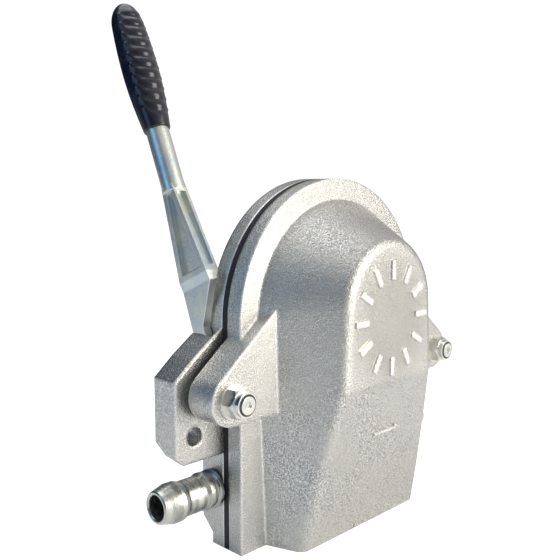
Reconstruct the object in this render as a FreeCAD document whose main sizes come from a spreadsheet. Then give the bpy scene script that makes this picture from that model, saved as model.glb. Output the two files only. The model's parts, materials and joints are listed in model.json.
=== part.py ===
import FreeCAD, Part
import math
import os

# Double action hand pump. Millimetres, +Z up, +X to the right as seen from the cover, -Y towards the cover.
# The origin is on the flat back of the rear housing, midway between the two mounting holes.

SIZES = {
    # rear housing
    "flange_radius": 100, "arc_height": 74, "foot_drop": 88, "rear_depth": 22.8,
    "rear_flange": 12.5, "rear_inset": 9, "back_wall": 3.2,
    "chamber_half": 44, "pocket_margin": 8, "pocket_depth": 13, "pocket_rise": 34, "pocket_slant": 15,
    # mounting lugs
    "lug_root_inset": 20, "lug_overhang": 41.5, "lug_top": 40,
    "lug_shoulder_overhang": 26, "lug_shoulder": 53,
    "lug_crest_inset": 2, "lug_crest": 73,
    "lug_foot": 18, "lug_chamfer": 6, "lug_sole": 2.5, "lug_heel": 5,
    "hole_overhang": 25.5, "hole_radius": 6.5,
    # diaphragm
    "sheet": 5.2, "lobe_offset": 46, "lobe_radius": 40, "lobe_wall": 2.6,
    # front cover
    "cover_flange": 13, "dome_depth": 52,
    "dome_base_inset": 15.3, "dome_foot_inset": 23.7,
    "dome_front_inset": 52, "front_foot_inset": 41.3,
    "dome_face_rise": 8,
    "toe_depth": 28, "toe_start": 29, "toe_reach": 10, "edge_round": 9,
    "cover_wall": 5.5, "core_mouth_inset": 14, "core_foot_inset": 26,
    "partition_wall": 5, "ring_inset": 10, "mark_height": 14, "mark_width": 4.5,
    "mark_relief": 1.5, "mark_count": 12,
    # ears and studs
    "stud_overhang": 17.2, "stud_height": 28.8, "stud_radius": 6, "stud_bed": 18,
    "ear_radius": 17.5, "ear_depth": 24, "ear_slope": 39, "gusset_inset": 30,
    "ear_play": 0.6, "washer_radius": 12, "washer_thick": 2.4, "washer_play": 0.4,
    "nut_flats": 19, "nut_height": 8.4, "nut_collar": 3.6, "nut_bevel": 6,
    "stud_proud": 1, "stud_bore": 2.6, "stud_dimple": 1.2,
    # drive shaft, lever and swing
    "shaft_depth": 12.2, "shaft_height": 48, "shaft_radius": 6, "run_gap": 0.04,
    "bush_wall": 2.5, "bush_length": 15, "seal_cover": 0.6, "seal_width": 6, "end_play": 0.5,
    "lever_overhang": 4.25, "lever_lean": 23.5, "rocker_lean": 11, "pin_radius": 1.75,
    "pin_inset": 0.6,
    "hub_wall": 2.2, "hub_half": 3.25, "slot_gap": 0.6, "slot_front": 0.4,
    "blade_back": 5, "bend_drop": 3, "blade_end": 50,
    "stem_overhang": 3, "stem_half": 5.6, "stem_set": 13.1,
    "shoulder_at": 56.5, "shoulder_half": 15.8, "ribs_end": 125.3, "ribs_half": 6.1,
    "rib": 5.2, "slim_rib": 3.4, "recess": 3.2, "edge_recess": 3, "ridge": 2.2,
    "recess_start": 61, "recess_end": 119,
    "bar_radius": 8.4, "bar_start": 121, "bar_end": 262,
    "grip_start": 168.8, "grip_end": 271.9, "grip_waist": 9.7, "grip_rise": 11.9, "grip_radius": 13.4,
    "grip_slope": 12.9, "grip_neck": 11.5, "grip_dome": 8.8, "grip_tip": 3.6,
    # rocker
    "rocker_wall": 2.2, "pad_radius": 20, "pad_thick": 3, "arm_half": 8, "arm_thick": 5.5,
    "arm_reach": 12,
    "disc_thick": 3, "screw_radius": 3, "screw_head": 5.5, "screw_cap": 3, "clamp_gap": 0.1,
    "hub_spread": 14.4,
    # hose tails
    "port_depth": 11.8, "port_drop": 46, "port_bore": 8.6, "port_boss_half": 24, "port_boss_width": 34,
    "port_boss_slope": 10, "gallery_half": 8, "gallery_inset": 38, "ring_thick": 1.6,
    "tail_length": 51, "tail_thread": 9.8, "tail_spigot": 12, "collar_end": 4.2, "waist_start": 5.4,
    "bead_start": 7, "bead_top": 9.2, "bead_end": 12.4, "neck_start": 15.6, "neck_end": 17.4,
    "land_start": 18, "land_end": 30, "barb_top": 34.5, "barb_end": 40.5, "tip_round": 0.8,
    "bead_radius": 13.7, "neck_radius": 12, "land_radius": 12.5, "barb_radius": 13.95, "tip_radius": 11.35,
    # valves
    "plate_reach": 46, "plate_half": 1.5, "valve_offset": 38, "valve_inset": 19, "valve_port": 8,
    "flap_half": 10, "flap_length": 24, "flap_thick": 2, "strip_height": 5, "strip_thick": 1.5,
    "rivet_radius": 1.5, "rivet_head": 2.3, "rivet_inset": 3, "fit_gap": 0.3,
    # shaft end plug
    "plug_length": 10, "plug_socket": 4, "socket_depth": 5,
    # how far a cutting tool is carried past the face it opens
    "past": 1,
}

document = FreeCAD.newDocument("double_action_hand_pump")
sizes = document.addObject("Spreadsheet::Sheet", "sizes")
for row, (alias, value) in enumerate(SIZES.items(), start=1):
    sizes.set("A" + str(row), alias)
    sizes.set("B" + str(row), str(value))
    sizes.setAlias("B" + str(row), alias)
document.recompute()

X_AXIS = FreeCAD.Vector(1, 0, 0)
Y_AXIS = FreeCAD.Vector(0, 1, 0)
Z_AXIS = FreeCAD.Vector(0, 0, 1)

# Levels in Y, from the flat back (0) towards the cover.
REAR_FACE = "-sizes.rear_depth"
COVER_FACE = "-(sizes.rear_depth + sizes.sheet)"
FLANGE_FACE = "-(sizes.rear_depth + sizes.sheet + sizes.cover_flange)"
DOME_FACE = "-(sizes.rear_depth + sizes.sheet + sizes.cover_flange + sizes.dome_depth)"
EAR_FACE = "-(sizes.rear_depth + sizes.sheet + sizes.ear_depth)"
SHAFT_Y = "-sizes.shaft_depth"
SHAFT_Z = "sizes.shaft_height"
FOOT_Z = "-sizes.foot_drop"
VALVE_Y = "-(sizes.rear_depth + sizes.sheet + sizes.valve_inset)"

# Reaches and radii worked out from the driving sizes.
LUG_ROOT = "(sizes.flange_radius - sizes.lug_root_inset)"
LUG_REACH = "(sizes.flange_radius + sizes.lug_overhang)"
LUG_SHOULDER = "(sizes.flange_radius + sizes.lug_shoulder_overhang)"
LUG_CREST = "(sizes.flange_radius - sizes.lug_crest_inset)"
HOLE_X = "(sizes.flange_radius + sizes.hole_overhang)"
DOME_BASE = "(sizes.flange_radius - sizes.dome_base_inset)"
DOME_BASE_FOOT = "(sizes.flange_radius - sizes.dome_foot_inset)"
DOME_FRONT = "(sizes.flange_radius - sizes.dome_front_inset)"
DOME_FRONT_FOOT = "(sizes.flange_radius - sizes.front_foot_inset)"
CORE_MOUTH = "(sizes.flange_radius - sizes.core_mouth_inset)"
CORE_FOOT = "(sizes.flange_radius - sizes.core_foot_inset)"
RING_RADIUS = "(sizes.arc_height - sizes.toe_start - sizes.ring_inset)"
STUD_X = "(sizes.flange_radius + sizes.stud_overhang)"
GUSSET_X = "(sizes.flange_radius - sizes.gusset_inset)"
EAR_HOLE = "(sizes.stud_radius + sizes.ear_play)"
LEVER_REACH = "(sizes.flange_radius + sizes.lever_overhang)"
HUB_RADIUS = "(sizes.shaft_radius + sizes.hub_wall)"
SEAL_RADIUS = "(sizes.rear_depth - sizes.shaft_depth - sizes.seal_cover)"
STEM_REACH = "(sizes.flange_radius + sizes.stem_overhang)"
ROCKER_HUB = "(sizes.shaft_radius + sizes.rocker_wall)"
GALLERY_X = "(sizes.flange_radius - sizes.gallery_inset)"

parts = []


def number(formula):
    """The present value of a formula of the sheet."""
    return float(sizes.evalExpression(formula))


def bind(thing, formulas):
    """Tie properties of a thing to formulas of the sheet."""
    for name, formula in formulas.items():
        thing.setExpression(name, formula)
    return thing


def shift(thing, x="0", y="0", z="0"):
    """Tie a thing's place to the sheet."""
    return bind(thing, {"Placement.Base.x": x, "Placement.Base.y": y, "Placement.Base.z": z})


def box(x, y, z):
    """A block between pairs of formulas in X, Y and Z."""
    block = document.addObject("Part::Box", "block")
    spans = {}
    for name, (low, high) in zip(("Length", "Width", "Height"), (x, y, z)):
        spans[name] = "(" + high + ") - (" + low + ")"
    bind(block, spans)
    return shift(block, x[0], y[0], z[0])


def rod(axis, radius, start, end, a, b):
    """A cylinder along an axis from start to end; a and b are its other two coordinates in order."""
    cylinder = document.addObject("Part::Cylinder", "rod")
    direction = {"x": X_AXIS, "y": Y_AXIS, "z": Z_AXIS}[axis]
    cylinder.Placement = FreeCAD.Placement(FreeCAD.Vector(), FreeCAD.Rotation(Z_AXIS, direction))
    bind(cylinder, {"Radius": radius, "Height": "(" + end + ") - (" + start + ")"})
    base = {"x": (start, a, b), "y": (a, start, b), "z": (a, b, start)}[axis]
    return shift(cylinder, *base)


def cone(axis, radius_start, radius_end, start, end, a, b):
    """A cone frustum along an axis, with its place as for a rod."""
    frustum = document.addObject("Part::Cone", "cone")
    direction = {"x": X_AXIS, "y": Y_AXIS, "z": Z_AXIS}[axis]
    frustum.Placement = FreeCAD.Placement(FreeCAD.Vector(), FreeCAD.Rotation(Z_AXIS, direction))
    height = "(" + end + ") - (" + start + ")"
    bind(frustum, {"Radius1": radius_start, "Radius2": radius_end, "Height": height})
    base = {"x": (start, a, b), "y": (a, start, b), "z": (a, b, start)}[axis]
    return shift(frustum, *base)


def over(low, high):
    """A span carried past both of its ends, for a tool that cuts right through."""
    return (low + " - sizes.past", high + " + sizes.past")


def hexagon(flats, start, end, x, z):
    """A hexagonal prism along Y with the given width across its flats."""
    prism = document.addObject("Part::Prism", "hexagon")
    prism.Polygon = 6
    prism.Placement = FreeCAD.Placement(FreeCAD.Vector(), FreeCAD.Rotation(Z_AXIS, Y_AXIS))
    height = "(" + end + ") - (" + start + ")"
    bind(prism, {"Circumradius": "(" + flats + ") / sqrt(3)", "Height": height})
    return shift(prism, x, start, z)


def taper(low, high, low_x, low_y, high_x, high_y):
    """A block along Z whose X and Y spans change evenly from its low end to its high end."""
    wedge = document.addObject("Part::Wedge", "taper")
    wedge.Placement = FreeCAD.Placement(FreeCAD.Vector(), FreeCAD.Rotation(X_AXIS, 90))
    bind(wedge, {"Ymin": low, "Ymax": high})
    bind(wedge, {"Xmin": low_x[0], "Xmax": low_x[1], "X2min": high_x[0], "X2max": high_x[1]})
    flip = {"Zmin": low_y[1], "Zmax": low_y[0], "Z2min": high_y[1], "Z2max": high_y[0]}
    bind(wedge, {name: "-(" + formula + ")" for name, formula in flip.items()})
    return wedge


def fuse(*pieces):
    """One solid from several that touch or cross."""
    joined = document.addObject("Part::MultiFuse", "fuse")
    joined.Shapes = list(pieces)
    joined.Refine = True
    return joined


def cut(base, *tools):
    """The base without the tools."""
    result = document.addObject("Part::Cut", "cut")
    result.Base = base
    result.Tool = tools[0] if len(tools) == 1 else fuse(*tools)
    result.Refine = True
    return result


def common(first, second):
    """What two solids share."""
    shared = document.addObject("Part::MultiCommon", "common")
    shared.Shapes = [first, second]
    return shared


def group(*pieces):
    """Several separate solids kept in one sub-part."""
    several = document.addObject("Part::Compound", "group")
    several.Links = list(pieces)
    return several


def keep(name, thing):
    """Name a finished sub-part."""
    thing.Label = name
    parts.append(thing)
    return thing


def lean(thing, angle):
    """Turn a thing about the drive shaft, top towards the back, with its own origin on the shaft's axis."""
    thing.Placement = FreeCAD.Placement(FreeCAD.Vector(), FreeCAD.Rotation(X_AXIS, 0))
    bind(thing, {"Placement.Rotation.Angle": "-(" + angle + ")"})
    return shift(thing, "0", SHAFT_Y, SHAFT_Z)


def plane(body, role):
    """One of a body's own origin planes."""
    return [feature for feature in body.Origin.OriginFeatures if feature.Role == role][0]


def arch(body, name, level, centre, radius, foot_half, foot):
    """A horseshoe section at a level towards the cover: an arc over two tangent sides and a flat foot."""
    import Sketcher
    sketch = body.newObject("Sketcher::SketchObject", name)
    sketch.AttachmentSupport = [(plane(body, "XZ_Plane"), "")]
    sketch.MapMode = "FlatFace"
    sketch.setExpression("AttachmentOffset.Base.z", "-(" + level + ")")
    c, r, half, low = number(centre), number(radius), number(foot_half), number(foot)
    circle = Part.Circle(FreeCAD.Vector(0, c, 0), Z_AXIS, r)
    sketch.addGeometry(Part.ArcOfCircle(circle, 0, math.pi))
    corners = [(r, c), (half, low), (-half, low), (-r, c)]
    for (x0, y0), (x1, y1) in zip(corners, corners[1:]):
        sketch.addGeometry(Part.LineSegment(FreeCAD.Vector(x0, y0, 0), FreeCAD.Vector(x1, y1, 0)))
    sketch.addConstraint(Sketcher.Constraint("Tangent", 0, 1, 1, 1))
    sketch.addConstraint(Sketcher.Constraint("Tangent", 0, 2, 3, 2))
    sketch.addConstraint(Sketcher.Constraint("Coincident", 1, 2, 2, 1))
    sketch.addConstraint(Sketcher.Constraint("Coincident", 2, 2, 3, 1))
    sketch.addConstraint(Sketcher.Constraint("Symmetric", 2, 1, 2, 2, -2))
    sketch.addConstraint(Sketcher.Constraint("PointOnObject", 0, 3, -2))
    driven = [
        (Sketcher.Constraint("DistanceY", -1, 1, 0, 3, c), centre),
        (Sketcher.Constraint("Radius", 0, r), radius),
        (Sketcher.Constraint("DistanceX", -1, 1, 2, 1, half), foot_half),
        (Sketcher.Constraint("DistanceY", 2, 1, -1, 1, -low), "-(" + foot + ")"),
    ]
    for constraint, formula in driven:
        index = sketch.addConstraint(constraint)
        sketch.setExpression("Constraints[" + str(index) + "]", formula)
    return sketch


def outline(body, name, role, corners, offset="0"):
    """A closed polygon on one of a body's origin planes, each corner tied to two formulas."""
    import Sketcher
    sketch = body.newObject("Sketcher::SketchObject", name)
    sketch.AttachmentSupport = [(plane(body, role), "")]
    sketch.MapMode = "FlatFace"
    sketch.setExpression("AttachmentOffset.Base.z", offset)
    places = [FreeCAD.Vector(number(u), number(v), 0) for u, v in corners]
    count = len(places)
    for i in range(count):
        sketch.addGeometry(Part.LineSegment(places[i], places[(i + 1) % count]))
    for i in range(count):
        sketch.addConstraint(Sketcher.Constraint("Coincident", i, 2, (i + 1) % count, 1))
    for i, (u, v) in enumerate(corners):
        for kind, value, formula in (("DistanceX", places[i].x, u), ("DistanceY", places[i].y, v)):
            index = sketch.addConstraint(Sketcher.Constraint(kind, -1, 1, i, 1, value))
            sketch.setExpression("Constraints[" + str(index) + "]", formula)
    return sketch


def slab(name, role, corners, length, offset="0"):
    """A body padded from a polygon on an origin plane."""
    body = document.addObject("PartDesign::Body", name)
    pad = body.newObject("PartDesign::Pad", name + "_pad")
    pad.Profile = outline(body, name + "_outline", role, corners, offset)
    bind(pad, {"Length": length})
    return body


def turned(name, corners):
    """A body turned about the X axis from its half profile."""
    body = document.addObject("PartDesign::Body", name)
    profile = outline(body, name + "_profile", "XY_Plane", corners)
    turn = body.newObject("PartDesign::Revolution", name + "_turn")
    turn.Profile = profile
    turn.ReferenceAxis = (profile, ["H_Axis"])
    turn.Angle = 360
    return body


def horseshoe(radius, foot, front, back):
    """A plate with a half round top and a straight foot."""
    top = rod("y", radius, front, back, "0", "sizes.arc_height")
    stem = box(("-(" + radius + ")", radius), (front, back), (foot, "sizes.arc_height"))
    return fuse(top, stem)


def mirrored(side, formula):
    """A formula on the left (-1) or right (1) side."""
    return formula if side > 0 else "-(" + formula + ")"


def span(side, near, far):
    """An X span on one side, low end first."""
    return (near, far) if side > 0 else ("-(" + far + ")", "-(" + near + ")")


# ---- rear housing ------------------------------------------------------------------------------------

def lug(side):
    """A side lug with a sloped top and a slanting underside; it takes a mounting hole and a cover stud."""
    ways = [
        (LUG_ROOT, "-sizes.lug_foot"),
        (LUG_REACH + " - sizes.lug_chamfer", "-sizes.lug_foot"),
        (LUG_REACH, "sizes.lug_chamfer - sizes.lug_foot"),
        (LUG_REACH, "sizes.lug_top"),
        (LUG_SHOULDER, "sizes.lug_shoulder"),
        (LUG_CREST, "sizes.lug_crest"),
        (LUG_ROOT, "sizes.lug_crest"),
    ]
    corners = [(mirrored(side, x), z) for x, z in ways]
    name = "lug_right" if side > 0 else "lug_left"
    block = slab(name, "XZ_Plane", corners, "sizes.rear_depth")
    slant = [
        (REAR_FACE + " + sizes.lug_sole", "-sizes.lug_foot"),
        ("0", "-sizes.lug_heel"),
        ("0", "-2 * sizes.lug_foot"),
        (REAR_FACE + " + sizes.lug_sole", "-2 * sizes.lug_foot"),
    ]
    start = span(side, LUG_ROOT, LUG_REACH)[0]
    width = LUG_REACH + " - " + LUG_ROOT
    return cut(block, slab(name + "_slant", "YZ_Plane", slant, width, start))


def port_boss(side):
    """The block round a port, chamfered down to the flange below."""
    low = "-(sizes.port_drop + sizes.port_boss_half)"
    corners = [
        (REAR_FACE, low + " - sizes.port_boss_slope"),
        ("sizes.rear_flange - sizes.rear_depth", low + " - sizes.port_boss_slope"),
        ("0", low),
        ("0", "0"),
        (REAR_FACE, "0"),
    ]
    start = span(side, "sizes.flange_radius - sizes.port_boss_width", "sizes.flange_radius")[0]
    name = "boss_right" if side > 0 else "boss_left"
    return slab(name, "YZ_Plane", corners, "sizes.port_boss_width", start)


def back_pocket(side, upper):
    """A weight-saving pocket in the back, between the chamber wall, the shaft boss and the rim."""
    inner = "sizes.chamber_half + sizes.pocket_margin"
    outer = "sizes.flange_radius - sizes.rear_inset - sizes.pocket_margin"
    if upper:
        low = SHAFT_Z + " + sizes.shaft_radius + sizes.pocket_margin"
        high = "sizes.arc_height + sizes.pocket_rise"
        corners = [
            (mirrored(side, inner), low),
            (mirrored(side, outer), low),
            (mirrored(side, outer), "sizes.arc_height + sizes.pocket_margin"),
            (mirrored(side, inner + " + sizes.pocket_slant"), high),
            (mirrored(side, inner), high),
        ]
    else:
        low = "sizes.port_boss_half - sizes.port_drop"
        high = SHAFT_Z + " - sizes.shaft_radius - sizes.pocket_margin"
        corners = [
            (mirrored(side, inner), low),
            (mirrored(side, outer), low),
            (mirrored(side, outer), high),
            (mirrored(side, inner), high),
        ]
    name = "pocket_" + ("right" if side > 0 else "left") + ("_upper" if upper else "_lower")
    return slab(name, "XZ_Plane", corners, "sizes.pocket_depth")


def rear_body():
    """The rear casting: flange, inset back, lugs, port bosses, rocker chamber, shaft bore, lever slot."""
    tub_radius = "sizes.flange_radius - sizes.rear_inset"
    tub_foot = FOOT_Z + " + sizes.rear_inset + sizes.lug_chamfer"
    solid = [
        horseshoe("sizes.flange_radius", FOOT_Z, REAR_FACE, "sizes.rear_flange - sizes.rear_depth"),
        horseshoe(tub_radius, tub_foot, REAR_FACE, "0"),
    ]
    hollow = []
    for side in (-1, 1):
        solid += [lug(side), port_boss(side)]
        hollow += [back_pocket(side, True), back_pocket(side, False)]
        hole_x = mirrored(side, HOLE_X)
        hollow.append(rod("y", "sizes.hole_radius", REAR_FACE + " - sizes.past", "sizes.past", hole_x, "0"))
        stud_x = mirrored(side, STUD_X)
        bed = (REAR_FACE + " - sizes.past", REAR_FACE + " + sizes.stud_bed + sizes.fit_gap")
        hollow.append(rod("y", "sizes.stud_radius", *bed, stud_x, "sizes.stud_height"))
        near = GALLERY_X + " - sizes.gallery_half"
        bore = span(side, GALLERY_X, "sizes.flange_radius - sizes.tail_spigot")
        hollow.append(rod("x", "sizes.port_bore", *bore, "-sizes.port_depth", "-sizes.port_drop"))
        seat = span(side, "sizes.flange_radius - sizes.tail_spigot", "sizes.flange_radius + sizes.past")
        hollow.append(rod("x", "sizes.tail_thread", *seat, "-sizes.port_depth", "-sizes.port_drop"))
        gallery_z = ("-(sizes.port_drop + sizes.port_bore)", "-(sizes.port_drop - sizes.port_bore)")
        gallery_x = span(side, near, GALLERY_X + " + sizes.gallery_half")
        gallery_y = (REAR_FACE + " - sizes.past", "-(sizes.port_depth - sizes.port_bore)")
        hollow.append(box(gallery_x, gallery_y, gallery_z))
    chamber = (REAR_FACE + " - sizes.past", "-sizes.back_wall")
    for sign in ("+", "-"):
        lobe_z = SHAFT_Z + sign + "sizes.lobe_offset"
        hollow.append(rod("y", "sizes.chamber_half", *chamber, "0", lobe_z))
    lobes = (SHAFT_Z + " - sizes.lobe_offset", SHAFT_Z + " + sizes.lobe_offset")
    hollow.append(box(("-sizes.chamber_half", "sizes.chamber_half"), chamber, lobes))
    bush = "sizes.shaft_radius + sizes.bush_wall"
    slot_inner = LEVER_REACH + " - sizes.hub_half - sizes.slot_gap"
    hollow.append(rod("x", bush, "-(" + slot_inner + " + sizes.past)", "0", SHAFT_Y, SHAFT_Z))
    hollow.append(rod("x", bush, "0", LUG_REACH + " + sizes.past", SHAFT_Y, SHAFT_Z))
    for side in (-1, 1):
        nook = span(side, "sizes.chamber_half - sizes.past", "sizes.chamber_half + sizes.seal_width")
        hollow.append(rod("x", SEAL_RADIUS, *nook, SHAFT_Y, SHAFT_Z))
    slot_x = ("-(" + LEVER_REACH + " + sizes.hub_half + sizes.slot_gap)", "-(" + slot_inner + ")")
    slot_y = ("-(sizes.shaft_depth + " + HUB_RADIUS + " + sizes.slot_front)", "sizes.past")
    slot_z = (SHAFT_Z + " - " + HUB_RADIUS + " - sizes.slot_gap", "sizes.lug_crest + sizes.past")
    hollow.append(box(slot_x, slot_y, slot_z))
    keep("rear_body", cut(fuse(*solid), *hollow))


# ---- front cover -------------------------------------------------------------------------------------

def dome(name, gap, mouth_level, mouth_radius, mouth_foot):
    """The cover's bulge, drawn in by a gap: a tapering arch whose lower front leans back to a toe."""
    body = document.addObject("PartDesign::Body", name)
    face = DOME_FACE + " + (" + gap + ")"
    foot = FOOT_Z + " + (" + gap + ")"
    face_centre = "sizes.arc_height + sizes.dome_face_rise"
    face_radius = DOME_FRONT + " - (" + gap + ")"
    face_foot = DOME_FRONT_FOOT + " - (" + gap + ")"
    low = arch(body, name + "_base", mouth_level, "sizes.arc_height", mouth_radius, mouth_foot, foot)
    high = arch(body, name + "_face", face, face_centre, face_radius, face_foot, foot)
    loft = body.newObject("PartDesign::AdditiveLoft", name + "_loft")
    loft.Profile = low
    loft.Sections = [high]
    loft.Ruled = True
    toe = FLANGE_FACE + " - sizes.toe_depth + (" + gap + ")"
    run = "((" + toe + ") - (" + face + "))"
    rise = "(sizes.toe_start + sizes.foot_drop)"
    out = face + " - sizes.toe_reach"
    low = FOOT_Z + " - sizes.toe_reach"
    corners = [
        (out, "sizes.toe_start + sizes.toe_reach * " + rise + " / " + run),
        (toe + " + sizes.toe_reach * " + run + " / " + rise, low),
        (out, low),
    ]
    wedge = slab(name + "_toe", "YZ_Plane", corners, "2 * sizes.flange_radius", "-sizes.flange_radius")
    return cut(body, wedge)


def rounded(thing, radius, chosen):
    """Round the edges that a test picks."""
    document.recompute()
    edges = [i for i, edge in enumerate(thing.Shape.Edges, start=1) if chosen(edge)]
    fillet = document.addObject("Part::Fillet", "rounded")
    fillet.Base = thing
    size = number(radius)
    fillet.Edges = [(i, size, size) for i in edges]
    return fillet


def along_dome_face(edge):
    """True for the edges round the dome's front, but not for the level ones across it."""
    bounds = edge.BoundBox
    return bounds.YMax < number(FLANGE_FACE) - 3 and bounds.ZLength > 3


def ear(side):
    """An ear for a cover stud, with a gusset that slopes up to the dome."""
    tip_x = "(" + STUD_X + " + sizes.ear_radius * sin(sizes.ear_slope))"
    tip_z = "(sizes.stud_height + sizes.ear_radius * cos(sizes.ear_slope))"
    top_z = tip_z + " + (" + tip_x + " - " + GUSSET_X + ") * tan(sizes.ear_slope)"
    ways = [
        (GUSSET_X, "sizes.stud_height - sizes.ear_radius"),
        (STUD_X, "sizes.stud_height - sizes.ear_radius"),
        (tip_x, tip_z),
        (GUSSET_X, top_z),
    ]
    corners = [(mirrored(side, x), z) for x, z in ways]
    name = "ear_right" if side > 0 else "ear_left"
    web = slab(name, "XZ_Plane", corners, "sizes.ear_depth", "sizes.rear_depth + sizes.sheet")
    stud_x = mirrored(side, STUD_X)
    return [web, rod("y", "sizes.ear_radius", EAR_FACE, COVER_FACE, stud_x, "sizes.stud_height")]


def ring_marks():
    """Plain raised bars set in a circle on the dome's face, like the hour marks of a dial."""
    marks = []
    count = int(number("sizes.mark_count"))
    for i in range(count):
        angle = 360 / count * i
        bar = document.addObject("Part::Box", "mark")
        bind(bar, {"Length": "sizes.mark_height", "Height": "sizes.mark_width"})
        bind(bar, {"Width": "sizes.mark_relief + sizes.past"})
        bar.Placement = FreeCAD.Placement(FreeCAD.Vector(), FreeCAD.Rotation(Y_AXIS, angle))
        inner = "(" + RING_RADIUS + " - sizes.mark_height / 2)"
        half = "sizes.mark_width / 2"
        turn = str(angle)
        x = inner + " * cos(" + turn + ") - " + half + " * sin(" + turn + ")"
        z = "sizes.arc_height - " + inner + " * sin(" + turn + ") - " + half + " * cos(" + turn + ")"
        marks.append(shift(bar, x, DOME_FACE + " - sizes.mark_relief", z))
    return marks


def cover_core(name, gap):
    """The hollow of the cover, drawn in by a further gap."""
    wall = "sizes.cover_wall + " + gap
    radius = CORE_MOUTH + " - " + gap
    return dome(name, wall, COVER_FACE + " + sizes.past", radius, CORE_FOOT + " - " + gap)


def front_cover():
    """The front casting: flange, dome, ears and ring of marks, with a partition across its hollow."""
    bulge = dome("dome", "0", FLANGE_FACE, DOME_BASE, DOME_BASE_FOOT)
    bulge = rounded(bulge, "sizes.edge_round", along_dome_face)
    flange = horseshoe("sizes.flange_radius", FOOT_Z, FLANGE_FACE, COVER_FACE)
    shell = fuse(bulge, flange, *ear(-1), *ear(1), *ring_marks())
    half = "sizes.partition_wall / 2"
    reach = "sizes.plate_reach - sizes.plate_half - sizes.fit_gap"
    across = ("-(" + reach + ")", reach)
    level = (SHAFT_Z + " - " + half, SHAFT_Z + " + " + half)
    shelf = common(cover_core("core_for_shelf", "0"), box(across, (DOME_FACE, COVER_FACE), level))
    hollow = cut(cover_core("core", "0"), shelf)
    holes = []
    for side in (-1, 1):
        stud_x = mirrored(side, STUD_X)
        span_y = over(EAR_FACE, COVER_FACE)
        holes.append(rod("y", EAR_HOLE, *span_y, stud_x, "sizes.stud_height"))
    keep("front_cover", cut(shell, hollow, *holes))


# ---- cover studs, washers and nuts -------------------------------------------------------------------

def cover_fixings():
    """A stud in each lug, with a washer and a self-locking nut against the ear."""
    studs = []
    washers = []
    nuts = []
    height = "sizes.stud_height"
    washer_face = EAR_FACE + " - sizes.washer_thick"
    nut_face = washer_face + " - sizes.nut_height"
    collar_face = nut_face + " - sizes.nut_collar"
    for side in (-1, 1):
        x = mirrored(side, STUD_X)
        end = collar_face + " - sizes.stud_proud"
        shank = rod("y", "sizes.stud_radius", end, REAR_FACE + " + sizes.stud_bed", x, height)
        dimple = rod("y", "sizes.stud_bore", end + " - sizes.past", end + " + sizes.stud_dimple", x, height)
        studs.append(cut(shank, dimple))
        ring = rod("y", "sizes.washer_radius", washer_face, EAR_FACE, x, height)
        bore = "sizes.stud_radius + sizes.washer_play"
        hole = rod("y", bore, *over(washer_face, EAR_FACE), x, height)
        washers.append(cut(ring, hole))
        prism = hexagon("sizes.nut_flats", nut_face, washer_face, x, height)
        wide = "sizes.nut_flats / 2 + sizes.nut_bevel"
        bevel = cone("y", "sizes.nut_flats / 2", wide, nut_face, washer_face, x, height)
        collar_y = (collar_face, nut_face + " + sizes.past")
        collar = rod("y", "sizes.nut_flats / 2 - sizes.past", *collar_y, x, height)
        thread = rod("y", "sizes.stud_radius", *over(collar_face, washer_face), x, height)
        nuts.append(cut(fuse(common(prism, bevel), collar), thread))
    keep("cover_studs", group(*studs))
    keep("cover_washers", group(*washers))
    keep("cover_nuts", group(*nuts))


# ---- diaphragm ---------------------------------------------------------------------------------------

SHEET_MID = "-(sizes.rear_depth + sizes.sheet / 2 - sizes.shaft_depth)"


def disc_centre(sign, offset):
    """Where a point on the axis of a clamp disc lies once the rocker leans, as Y and Z formulas."""
    y = "(" + SHEET_MID + " + (" + offset + "))"
    z = "(" + sign + "sizes.lobe_offset)"
    turn = "sizes.rocker_lean"
    low_y = SHAFT_Y + " + " + y + " * cos(" + turn + ") + " + z + " * sin(" + turn + ")"
    low_z = SHAFT_Z + " - " + y + " * sin(" + turn + ") + " + z + " * cos(" + turn + ")"
    return low_y, low_z


def ring_edge(radius, y, z, angle):
    """A circle that faces the back, leaning by an angle."""
    circle = document.addObject("Part::Circle", "ring_edge")
    circle.Placement = FreeCAD.Placement(FreeCAD.Vector(), FreeCAD.Rotation(X_AXIS, -90))
    bind(circle, {"Radius": radius, "Placement.Rotation.Angle": "-(90 + " + angle + ")"})
    return shift(circle, "0", y, z)


def frustum(sign, offset):
    """The slanting solid between the sheet and a leaning clamp disc."""
    level = "-(sizes.rear_depth + sizes.sheet / 2) + (" + offset + ")"
    wide = ring_edge("sizes.lobe_radius", level, SHAFT_Z + " " + sign + " sizes.lobe_offset", "0")
    y, z = disc_centre(sign, "0")
    narrow = ring_edge("sizes.pad_radius", y + " + (" + offset + ")", z, "sizes.rocker_lean")
    loft = document.addObject("Part::Loft", "frustum")
    loft.Sections = [wide, narrow]
    loft.Solid = True
    loft.Ruled = True
    return loft


def lobe(sign):
    """A moulded lobe of the diaphragm, pushed back (+) or forward (-) by its clamp disc."""
    half = "sizes.lobe_wall / 2"
    outer, inner = (half, "-" + half) if sign == "+" else ("-" + half, half)
    mid = "-(sizes.rear_depth + sizes.sheet / 2)"
    z = SHAFT_Z + " " + sign + " sizes.lobe_offset"
    band = rod("y", "sizes.lobe_radius", mid + " - " + half, mid + " + " + half, "0", z)
    shell = cut(fuse(frustum(sign, outer), band), frustum(sign, inner))
    hole = rod("y", "sizes.screw_radius", "-10", "10", "0", "0")
    tool = group(hole)
    tool.Placement = FreeCAD.Placement(FreeCAD.Vector(), FreeCAD.Rotation(X_AXIS, -10))
    bind(tool, {"Placement.Rotation.Angle": "-sizes.rocker_lean"})
    y, z = disc_centre(sign, "0")
    return cut(shell, shift(tool, "0", y, z))


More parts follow.
